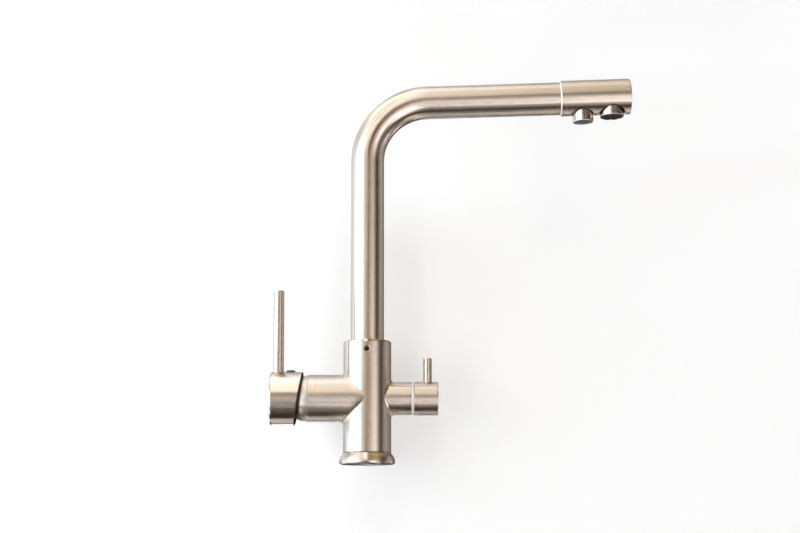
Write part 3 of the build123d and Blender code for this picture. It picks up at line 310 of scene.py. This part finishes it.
# The sheet stands behind the tap, clear of the lever, the pin and the spout however far they are turned.
SHEET_Y = 0.262
sheet_m = Matrix(((1.0, 0.0, 0.0, 0.0), (0.0, 0.0, -1.0, SHEET_Y), (0.0, 1.0, 0.0, 0.0), (0.0, 0.0, 0.0, 1.0)))
stage_sheet("sheet", sheet_m, 1.6, (0.05, 0.17, 0.0), FLOOR_ALBEDO, FLOOR_GLOW, (0.7, 1.4), 0.20)
# A smaller one stands just behind the body and takes its soft shadows; no pose reaches it.
NEAR_Y = 0.042
near_m = Matrix(((1.0, 0.0, 0.0, 0.0), (0.0, 0.0, -1.0, NEAR_Y), (0.0, 1.0, 0.0, 0.0), (0.0, 0.0, 0.0, 1.0)))
stage_sheet("near_sheet", near_m, 0.9, (0.06, 0.05, 0.0), FLOOR_ALBEDO, FLOOR_GLOW, (0.14, 0.42), 0.20,
            ends=((-0.055, -0.015), (0.19, 0.272)))

# ---------------------------------------------------------------- materials
Z_AXIS = 58.6
RISE = math.radians(1.92)
ARM = (math.cos(RISE), 0.0, math.sin(RISE))
BEND = (56.0, 0.0, 275.55)       # centre of the bend, mm
R_BEND = 56.0


def place_mm(g):
    return g.vec("SCALE", g.node("ShaderNodeTexCoord").outputs["Object"], scale=1000.0)


def lathe(g, p, centre, axis):
    """Direction round an axis, and a coordinate that runs along the turned surface, faces included."""
    q = g.vec("SUBTRACT", p, centre)
    along = g.vec("DOT_PRODUCT", q, axis)
    radial = g.vec("SUBTRACT", q, g.vec("SCALE", axis, scale=along))
    around = g.vec("NORMALIZE", g.vec("CROSS_PRODUCT", axis, radial))
    line = g.math("ADD", along, g.vec("LENGTH", radial))
    return around, line


def turned(centre, axis):
    def build(g, p, normal):
        around, line = lathe(g, p, centre, axis)
        return [(around, line, None)]
    return build


def body_lines(g, p, normal):
    """Trunk brushed round the vertical axis, both branches round theirs; the two run into each other at the junctions."""
    a1, l1 = lathe(g, p, (0.0, 0.0, 0.0), (0.0, 0.0, 1.0))
    a2, l2 = lathe(g, p, (0.0, 0.0, Z_AXIS), (1.0, 0.0, 0.0))
    x, y, z = g.split(p)
    up_off = g.math("ABSOLUTE", g.math("SUBTRACT", z, Z_AXIS))
    # left: the seam is narrow out at the corners and widens toward the middle of the trunk
    minus_x = g.math("MULTIPLY", x, -1.0)
    seam = g.range(minus_x, 6.0, 20.0, 10.0, 0.9)
    off = g.math("SUBTRACT", g.math("SUBTRACT", minus_x, up_off), g.range(minus_x, 3.0, 19.0, 10.0, 0.3))
    left = g.range(g.math("DIVIDE", off, seam), -1.0, 1.0, 0.0, 1.0, smooth=True)
    # right: the branch starts where the wall leaves the trunk
    out = g.math("SQRT", g.math("ADD", g.math("MULTIPLY", x, x), g.math("MULTIPLY", y, y)))
    beyond = g.range(out, 21.7, 23.3, 0.0, 1.0, smooth=True)
    right = g.math("MULTIPLY", beyond, g.math("GREATER_THAN", x, 0.0))
    near = g.range(up_off, 16.2, 17.8, 1.0, 0.0, smooth=True)
    right = g.math("MULTIPLY", right, near)
    side_mask = g.math("MAXIMUM", left, right)
    return [(a1, l1, None), (a2, l2, side_mask)]


def body_fillets(g, p):
    """1 in the hollow corners between trunk and branches, 0 elsewhere."""
    x, y, z = g.split(p)
    up_off = g.math("ABSOLUTE", g.math("SUBTRACT", z, Z_AXIS))
    minus_x = g.math("MULTIPLY", x, -1.0)
    off = g.math("ABSOLUTE", g.math("SUBTRACT", minus_x, up_off))
    left = g.math("MULTIPLY", g.range(off, 0.8, 4.5, 1.0, 0.0, smooth=True), g.range(minus_x, 13.0, 19.0, 0.0, 1.0, smooth=True))
    left = g.math("MULTIPLY", left, g.range(minus_x, 24.0, 27.0, 1.0, 0.0, smooth=True))
    out = g.math("SQRT", g.math("ADD", g.math("MULTIPLY", x, x), g.math("MULTIPLY", y, y)))
    ring = g.math("MULTIPLY", g.range(out, 21.6, 22.2, 0.0, 1.0, smooth=True), g.range(out, 23.2, 25.0, 1.0, 0.0, smooth=True))
    right = g.math("MULTIPLY", ring, g.range(x, 4.0, 8.0, 0.0, 1.0, smooth=True))
    right = g.math("MULTIPLY", right, g.range(z, Z_AXIS - 13.5, Z_AXIS - 8.0, 1.0, 0.0, smooth=True))
    return g.math("MAXIMUM", g.math("MAXIMUM", left, right), screw_bevel(g, p))


def screw_bevel(g, p):
    """1 on the bevel and wall of the grub screw's hole."""
    x, y, z = g.split(p)
    off = g.math("SQRT", g.math("ADD", g.math("MULTIPLY", x, x), g.math("POWER", g.math("SUBTRACT", z, 101.75), 2.0)))
    near = g.range(off, 3.5, 3.75, 1.0, 0.0, smooth=True)
    sunk = g.math("SUBTRACT", g.math("SQRT", g.math("ADD", g.math("MULTIPLY", x, x), g.math("MULTIPLY", y, y))), 21.5)
    return g.math("MULTIPLY", g.math("MULTIPLY", near, g.math("LESS_THAN", y, 0.0)), g.range(sunk, -0.12, -0.02, 1.0, 0.0))


def body_tone_and_joint_shade(g, p):
    """The bevel round the grub screw is a little darker, and the joint line above the base ring is darkened as painted
    shade in the groove."""
    x, y, z = g.split(p)
    # painted shade: a dark line along the joint groove above the base ring
    joint = g.range(z, 10.8, 11.05, 0.34, 0.0)
    return g.math("SUBTRACT", 1.0, g.math("MAXIMUM", g.math("MULTIPLY", screw_bevel(g, p), 0.10), joint))


def ring_joint_shade(g, p):
    """Painted shade: the joint line between base ring and trunk is darkened to stand in for the shade in the groove."""
    x, y, z = g.split(p)
    return g.range(z, 9.85, 10.05, 1.0, 0.4)


def cap_hollow_painted_shade(g, p):
    """Painted shade: the hollow of the cap and the broken edge round its rim are darkened to stand in for the shade in
    the gap round the dome; only the outside is brushed bright.
    """
    x, y, z = g.split(p)
    off = g.math("SQRT", g.math("ADD", g.math("MULTIPLY", y, y), g.math("POWER", g.math("SUBTRACT", z, Z_AXIS), 2.0)))
    inner = g.math("MULTIPLY", g.range(off, 22.6, 23.2, 1.0, 0.0, smooth=True), g.range(x, -86.2, -85.0, 0.0, 1.0, smooth=True))
    rim = g.math("MULTIPLY_ADD", g.math("SUBTRACT", z, Z_AXIS + 24.0), (64.9 - 57.2) / 48.0, -57.2)
    edge = g.range(g.math("SUBTRACT", x, rim), -0.95, -0.72, 0.0, 1.0)
    return g.math("MULTIPLY_ADD", g.math("MAXIMUM", inner, edge), -0.93, 1.0)


def collar_line(g, p):
    """The narrow bevel at the collar's end, where the tube goes in; a lighter colour is painted there as a highlight.
    """
    along = g.vec("DOT_PRODUCT", g.vec("SUBTRACT", p, ARM_LINE[0]), ARM)
    return g.range(along, 177.8, 178.05, 1.0, 0.0)


def rim_edge(s, reach, radius):
    """1 on the lower outer edge of an outlet sleeve, where a lighter colour is painted on as a highlight."""
    def build(g, p):
        origin, axis = outlet_axis(0, s)
        q = g.vec("SUBTRACT", p, origin)
        down = g.vec("DOT_PRODUCT", q, axis)
        off = g.vec("LENGTH", g.vec("SUBTRACT", q, g.vec("SCALE", axis, scale=down)))
        low = g.range(down, reach - 0.75, reach - 0.4, 0.0, 1.0, smooth=True)
        return g.math("MULTIPLY", low, g.range(off, radius - 0.6, radius - 0.3, 0.0, 1.0, smooth=True))
    return build


def tube_lines(g, p, normal):
    """Brushing that follows the bent tube."""
    x, y, z = g.split(p)
    bx = g.math("MINIMUM", g.math("SUBTRACT", x, BEND[0]), 0.0)
    bz = g.math("MAXIMUM", g.math("SUBTRACT", z, BEND[2]), 0.0)
    axis = g.vec("NORMALIZE", g.join(bz, 0.0, g.math("MULTIPLY", bx, -1.0)))
    around = g.vec("NORMALIZE", g.vec("CROSS_PRODUCT", axis, normal))
    turn = g.math("ARCTAN2", bz, g.math("MULTIPLY", bx, -1.0))
    line = g.math("ADD", g.math("MINIMUM", z, BEND[2]), g.math("MULTIPLY", turn, R_BEND))
    line = g.math("ADD", line, g.math("MAXIMUM", g.math("SUBTRACT", x, BEND[0]), 0.0))
    return [(around, line, None)]


def brush(g, b, p, normal, around, line, colour, rough, aniso, per_mm, streak, wobble, grain, fillet, tone, edge):
    """Set up one shader as metal brushed along `around`: the gloss stretches across the lines, and each line is a
    little brighter or duller than the next."""
    ax, ay, az = g.split(around)
    # fine lines, long round the axis and narrow along it
    k = g.math("MULTIPLY", line, per_mm)
    fine_at = g.join(k, g.math("ADD", g.math("MULTIPLY", ax, 1.3), g.math("MULTIPLY", az, 0.9)), g.math("MULTIPLY", ay, 1.3))
    fine = g.noise(fine_at, 1.0, 3.0, 0.62)
    fine = g.math("SUBTRACT", fine, 0.5)
    broad_at = g.join(g.math("MULTIPLY", line, per_mm * 0.16), g.math("MULTIPLY", ax, 0.8), g.math("MULTIPLY", ay, 0.8))
    broad = g.math("SUBTRACT", g.noise(broad_at, 1.0, 2.0, 0.5), 0.5)
    cloud = g.math("SUBTRACT", g.noise(p, 0.035, 2.0, 0.5), 0.5)
    shade = g.math("ADD", g.math("MULTIPLY", fine, streak * 2.0), g.math("MULTIPLY", broad, streak * 0.9))
    shade = g.math("ADD", shade, g.math("MULTIPLY", cloud, 0.04))
    shade = g.math("ADD", 1.0, shade)
    # tone darkens the colour by place; body, base ring and cap use it for painted shade in joints, hollows and at the
    # cap rim, and the body also for a darker screw bevel
    if tone:
        shade = g.math("MULTIPLY", shade, tone(g, p))
    tint = g.scale_colour(colour, shade)
    if edge:
        # painted highlight: sharp edges get a lighter colour and a rougher, less brushed gloss, so they shine like a
        # rounded edge
        edge_glint = edge(g, p)
        tint = g.mix(edge_glint, tint, (0.93, 0.91, 0.88, 1.0))
    g.put(b.inputs["Base Color"], tint)
    b.inputs["Metallic"].default_value = 1.0
    r = g.math("ADD", rough, g.math("ADD", g.math("MULTIPLY", fine, streak * 0.5), g.math("MULTIPLY", cloud, 0.03)))
    if edge:
        g.put(b.inputs["Roughness"], g.math("ADD", r, g.math("MULTIPLY", edge_glint, 0.35)))
        g.put(b.inputs["Anisotropic"], g.math("MULTIPLY_ADD", edge_glint, -aniso * 0.9, aniso))
    elif fillet:
        # the hollows between the branches are dressed by hand: duller, with hardly any grain direction
        soft = fillet(g, p)
        g.put(b.inputs["Roughness"], g.math("ADD", r, g.math("MULTIPLY", soft, 0.16)))
        g.put(b.inputs["Anisotropic"], g.math("MULTIPLY_ADD", soft, -0.45, aniso))
    else:
        g.put(b.inputs["Roughness"], r)
        b.inputs["Anisotropic"].default_value = aniso
    across = g.vec("CROSS_PRODUCT", around, normal)
    turn = g.node("ShaderNodeVectorTransform", vector_type="VECTOR", convert_from="OBJECT", convert_to="WORLD")
    g.put(turn.inputs[0], across)
    g.put(b.inputs["Tangent"], turn.outputs[0])
    # each line leans a little round the axis, which frays the edges of the reflections
    lean_at = g.join(g.math("MULTIPLY", line, per_mm * 1.7), g.math("MULTIPLY", ax, 2.2), g.math("MULTIPLY", ay, 2.2))
    lean_n = g.math("SUBTRACT", g.noise(lean_at, 1.0, 2.0, 0.6), 0.5)
    lean_v = g.vec("SCALE", around, scale=g.math("MULTIPLY", lean_n, wobble * 2.0))
    bent = g.vec("NORMALIZE", g.vec("ADD", normal, lean_v))
    turn2 = g.node("ShaderNodeVectorTransform", vector_type="NORMAL", convert_from="OBJECT", convert_to="WORLD")
    g.put(turn2.inputs[0], bent)
    if grain:
        bump = g.node("ShaderNodeBump")
        bump.inputs["Strength"].default_value = 0.25
        bump.inputs["Distance"].default_value = grain * 0.001
        g.put(bump.inputs["Height"], fine)
        g.put(bump.inputs["Normal"], turn2.outputs[0])
        g.put(b.inputs["Normal"], bump.outputs[0])
    else:
        g.put(b.inputs["Normal"], turn2.outputs[0])


def brushed_metal(name, lines, colour, rough=0.26, aniso=0.905, per_mm=1.1, streak=0.05, wobble=0.005,
                  grain=0.0, fillet=None, tone=None, edge=None):
    m, g, b = new_material(name)
    p = place_mm(g)
    normal = g.node("ShaderNodeTexCoord").outputs["Normal"]
    for around, line, share in lines(g, p, normal):
        if share is None:
            brush(g, b, p, normal, around, line, colour, rough, aniso, per_mm, streak, wobble, grain, fillet, tone, edge)
        else:
            # a second brushing direction, which shows where `share` is 1
            b2 = g.node("ShaderNodeBsdfPrincipled")
            brush(g, b2, p, normal, around, line, colour, rough, aniso, per_mm, streak * 2.2, wobble, grain, fillet, tone, edge)
            both = g.node("ShaderNodeMixShader")
            g.put(both.inputs[0], share)
            g.put(both.inputs[1], b.outputs[0])
            g.put(both.inputs[2], b2.outputs[0])
            out = [n for n in g.tree.nodes if n.type == "OUTPUT_MATERIAL"][0]
            g.put(out.inputs[0], both.outputs[0])
    return m


def plastic(name, colour, rough, spec=0.5, vary=0.06, grain_mm=0.5, depth_mm=0.01, coat=0.0):
    """Moulded plastic, rubber or ceramic: fine surface grain and slight changes of tone and gloss."""
    m, g, b = new_material(name)
    p = place_mm(g)
    big = g.math("SUBTRACT", g.noise(p, 0.12, 3.0, 0.55), 0.5)
    small = g.math("SUBTRACT", g.noise(p, 1.0 / grain_mm, 3.0, 0.6), 0.5)
    g.put(b.inputs["Base Color"], g.scale_colour(colour, g.math("ADD", 1.0, g.math("ADD", g.math("MULTIPLY", big, vary * 2.0),
                                                                                  g.math("MULTIPLY", small, vary)))))
    g.put(b.inputs["Roughness"], g.math("ADD", rough, g.math("ADD", g.math("MULTIPLY", small, 0.12), g.math("MULTIPLY", big, 0.08))))
    b.inputs["Specular IOR Level"].default_value = spec
    if coat:
        b.inputs["Coat Weight"].default_value = coat
    bump = g.node("ShaderNodeBump")
    bump.inputs["Strength"].default_value = 0.4
    bump.inputs["Distance"].default_value = depth_mm * 0.001
    g.put(bump.inputs["Height"], small)
    g.put(b.inputs["Normal"], bump.outputs[0])
    return m


NICKEL = (0.74, 0.64, 0.55)
BRASS = (0.72, 0.55, 0.30)
STEEL = (0.62, 0.62, 0.62)
UPRIGHT = ((0.0, 0.0, 0.0), (0.0, 0.0, 1.0))
BRANCH = ((0.0, 0.0, Z_AXIS), (1.0, 0.0, 0.0))
ARM_LINE = ((0.0, 0.0, 329.7), ARM)


def outlet_axis(y0, s):
    """Centre line of an outlet: it hangs from the arm at distance s and points down and back along the arm's own plane."""
    return ((s * ARM[0], 0.0, 329.7 + s * ARM[2]), (math.sin(RISE), 0.0, -math.cos(RISE)))


dress(["main_body"], brushed_metal("nickel_body", body_lines, NICKEL, fillet=body_fillets, tone=body_tone_and_joint_shade))
dress(["spout_tube"], brushed_metal("nickel_tube", tube_lines, NICKEL, streak=0.032))
dress(["base_ring"], brushed_metal("nickel_base_ring", turned(*UPRIGHT), NICKEL, rough=0.36, aniso=0.86,
                                    streak=0.025, wobble=0.01, tone=ring_joint_shade))
dress(["dome_cover"], brushed_metal("nickel_dome", turned(*BRANCH), NICKEL, rough=0.36, aniso=0.5, streak=0.02,
                                     wobble=0.008))
dress(["filter_knob"], brushed_metal("nickel_knob", turned(*BRANCH), NICKEL))
dress(["spout_head"], brushed_metal("nickel_head", turned(*ARM_LINE), NICKEL, streak=0.032))
dress(["head_collar"], brushed_metal("nickel_collar", turned(*ARM_LINE), NICKEL, edge=collar_line))
# the cap's tone paints shade into its hollow and along its rim edge
dress(["handle_cap"], brushed_metal("nickel_cap", turned(*BRANCH), NICKEL, rough=0.21, aniso=0.88, per_mm=2.0, streak=0.02,
                                    wobble=0.004, grain=0.001, tone=cap_hollow_painted_shade))
dress(["lever_rod"], brushed_metal("nickel_rod", turned((-79.8, 0.0, 0.0), (0.0, 0.0, 1.0)), NICKEL, rough=0.26, aniso=0.85,
                                   per_mm=2.0, streak=0.02, wobble=0.004, grain=0.001))
dress(["filter_pin_lever"], brushed_metal("nickel_pin", turned((54.0, 0.0, 0.0), (0.0, 0.0, 1.0)), NICKEL, rough=0.26,
                                          aniso=0.85, per_mm=2.0, streak=0.02, wobble=0.004, grain=0.001))
dress(["filter_outlet_sleeve"], brushed_metal("nickel_outlet_small", turned(*outlet_axis(0, 197.8)), NICKEL, rough=0.19,
                                              aniso=0.7, per_mm=2.5, streak=0.03, wobble=0.006, grain=0.0,
                                              edge=rim_edge(197.8, 22.95, 9.5)))
dress(["mixed_outlet_sleeve"], brushed_metal("nickel_outlet_large", turned(*outlet_axis(0, 224.7)), NICKEL, rough=0.19,
                                             aniso=0.7, per_mm=2.5, streak=0.03, wobble=0.006, grain=0.0,
                                             edge=rim_edge(224.7, 18.5, 11.2)))
dress(["filter_nozzle", "swivel_adapter"], brushed_metal("brass_turned_upright", turned(*UPRIGHT), BRASS, rough=0.3, aniso=0.6))
dress(["cartridge_nut", "filter_valve_body", "filter_spindle"],
      brushed_metal("brass_turned_branch", turned(*BRANCH), BRASS, rough=0.3, aniso=0.6))
dress(["head_spigot"], brushed_metal("brass_turned_arm", turned(*ARM_LINE), BRASS, rough=0.3, aniso=0.6))
dress(["lever_stem", "spindle_circlip"], brushed_metal("steel_turned_branch", turned(*BRANCH), STEEL, rough=0.28, aniso=0.6))
dress(["stem_pivot_pin"], brushed_metal("steel_pin", turned((-52.8, 0.0, Z_AXIS), (0.0, 1.0, 0.0)), STEEL, rough=0.28, aniso=0.6))
dress(["mixed_aerator_screen"], brushed_metal("steel_screen", turned(*outlet_axis(0, 224.7)), STEEL, rough=0.3, aniso=0.3))
dress(["spout_grub_screw", "handle_grub_screw", "filter_knob_screw"],
      plastic("black_steel", (0.022, 0.022, 0.024), 0.30, spec=0.4, vary=0.15, grain_mm=0.25, depth_mm=0.01))
dress(["fixed_ceramic_disc", "filter_fixed_disc", "moving_ceramic_disc", "filter_moving_disc"],
      plastic("ceramic", (0.86, 0.86, 0.84), 0.16, vary=0.02, grain_mm=0.3, depth_mm=0.003))
dress(["base_gasket", "filter_nozzle_seal", "cartridge_port_seals", "filter_valve_seal", "filter_disc_gasket", "spindle_seal",
       "swivel_seals", "head_seal", "inner_tube_seal", "filter_aerator_seal", "mixed_aerator_seal"],
      plastic("rubber", (0.025, 0.025, 0.026), 0.62, spec=0.35, vary=0.2, grain_mm=0.35, depth_mm=0.02))
dress(["cartridge_base", "cartridge_housing", "stem_guide", "disc_carrier"],
      plastic("cartridge_plastic", (0.42, 0.44, 0.47), 0.42, grain_mm=0.4, depth_mm=0.012))
dress(["spout_bearing_ring", "head_core"], plastic("bearing_plastic", (0.045, 0.045, 0.05), 0.45, grain_mm=0.4, depth_mm=0.012))
dress(["filter_gap_ring"], plastic("white_plastic", (0.90, 0.90, 0.89), 0.25, vary=0.02, grain_mm=0.4, depth_mm=0.004))
dress(["filter_inner_tube"], plastic("tube_plastic", (0.80, 0.82, 0.83), 0.35, vary=0.03, grain_mm=0.6, depth_mm=0.006))
dress(["index_plug"], plastic("index_plastic", (0.10, 0.10, 0.115), 0.22, vary=0.08, grain_mm=0.4, depth_mm=0.004))
dress(["mixed_aerator_insert"], plastic("black_plastic", (0.045, 0.046, 0.05), 0.42, vary=0.12, grain_mm=0.4, depth_mm=0.01))
dress(["filter_aerator_insert"], plastic("grey_plastic", (0.20, 0.205, 0.215), 0.38, vary=0.08, grain_mm=0.4, depth_mm=0.01))

bare = [n for n, ob in nodes.items() if not ob.material_slots or any(s.material is None or s.material.users == 0
                                                                   for s in ob.material_slots)]
if bare:
    print("no material on", bare)
